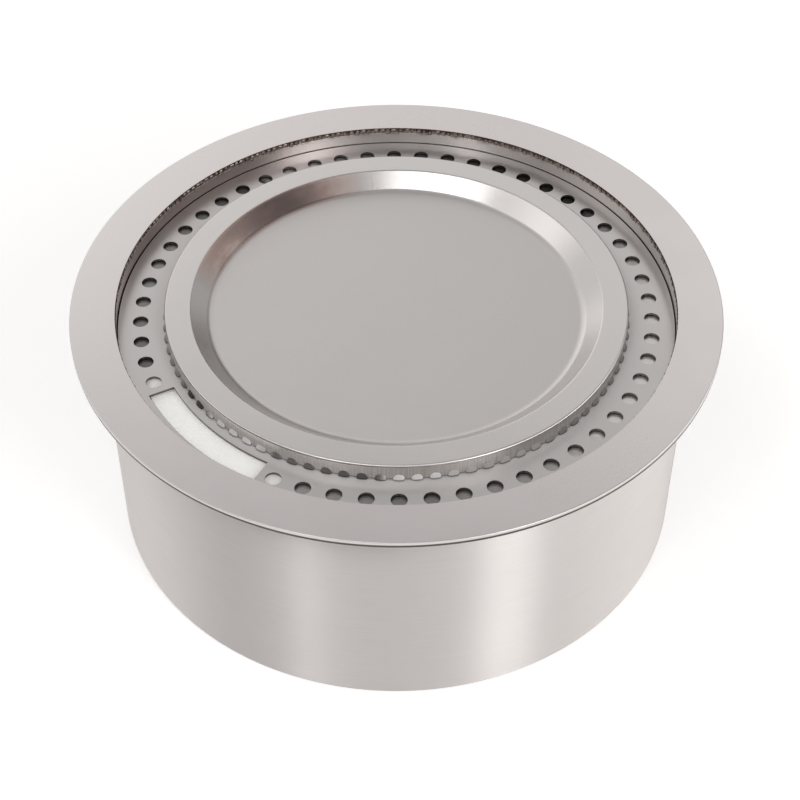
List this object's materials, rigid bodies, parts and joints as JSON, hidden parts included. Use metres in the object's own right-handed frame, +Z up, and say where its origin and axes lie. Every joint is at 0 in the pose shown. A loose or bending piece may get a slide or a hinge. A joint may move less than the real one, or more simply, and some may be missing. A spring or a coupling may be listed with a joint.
{
  "type": "propane ring burner stand",
  "caption": "Round stainless gas burner stand: straight drum under a wide flat flange, recessed perforated air plate, ignition slot and a dished lift-off cap.",
  "frame": {"origin": "centre of the drum's base, on the surface it stands on", "axes": "+Z up through the burner's centre, -Y towards the front with the ignition slot at the front left, +Y towards the gas inlet at the back"},
  "size_m": [0.3, 0.3, 0.1193],
  "materials": {
    "drum_steel": "finely brushed stainless steel",
    "flange_steel": "satin mill-finish stainless steel",
    "collar_steel": "bright rolled stainless steel",
    "plate_steel": "bright mill-finish stainless steel",
    "cap_steel": "satin stainless steel with heat tint",
    "lug_steel": "plain stainless steel",
    "cup_steel": "heat-dulled stainless steel",
    "plate_screw_steel": "plain stainless steel",
    "plate_nut_steel": "plain stainless steel",
    "tube_steel": "drawn stainless steel",
    "shutter_steel": "bright stainless steel",
    "thumbscrew_brass": "plain brass",
    "jet_brass": "plain brass",
    "elbow_brass": "cast brass",
    "tube_copper": "drawn copper",
    "inlet_brass": "turned brass",
    "lock_nut_brass": "plain brass",
    "tray_steel": "plain stainless steel",
    "ceramic_fibre": "white ceramic fibre board",
    "drip_ring_steel": "plain stainless steel",
    "rivet_steel": "plain stainless steel",
    "base_steel": "galvanised steel",
    "base_screw_steel": "plain stainless steel",
    "bracket_steel": "plain stainless steel"
  },
  "bodies": {
    "stand": {"outer_drum": "drum_steel", "top_flange": "flange_steel", "recess_collar": "collar_steel", "air_plate": "plate_steel", "burner_cup": "cup_steel", "plate_screw_1": "plate_screw_steel", "plate_screw_2": "plate_screw_steel", "plate_screw_3": "plate_screw_steel", "plate_screw_4": "plate_screw_steel", "plate_nut_1": "plate_nut_steel", "plate_nut_2": "plate_nut_steel", "plate_nut_3": "plate_nut_steel", "plate_nut_4": "plate_nut_steel", "mixing_tube": "tube_steel", "gas_jet": "jet_brass", "jet_elbow": "elbow_brass", "supply_tube": "tube_copper", "inlet_fitting": "inlet_brass", "inlet_nut": "lock_nut_brass", "ignition_tray": "tray_steel", "ceramic_board": "ceramic_fibre", "drip_ring": "drip_ring_steel", "tray_rivet_1": "rivet_steel", "tray_rivet_2": "rivet_steel", "base_plate": "base_steel", "base_screw_1": "base_screw_steel", "base_screw_2": "base_screw_steel", "base_screw_3": "base_screw_steel", "base_screw_4": "base_screw_steel", "jet_bracket": "bracket_steel", "bracket_screw_1": "base_screw_steel", "bracket_screw_2": "base_screw_steel"},
    "cap": {"burner_cap": "cap_steel", "cap_lug_1": "lug_steel", "cap_lug_2": "lug_steel", "cap_lug_3": "lug_steel"},
    "shutter": {"air_shutter": "shutter_steel", "shutter_screw": "thumbscrew_brass"}
  },
  "joints": [
    {"name": "cap_lift", "type": "slide", "parent": "stand", "child": "cap", "axis": [0, 0, 1], "range_m": [0, 0.06]},
    {"name": "shutter_turn", "type": "hinge", "parent": "stand", "child": "shutter", "pos_m": [0, 0, 0.046], "axis": [0, 0, 1], "range_deg": [0, 45]}
  ]
}
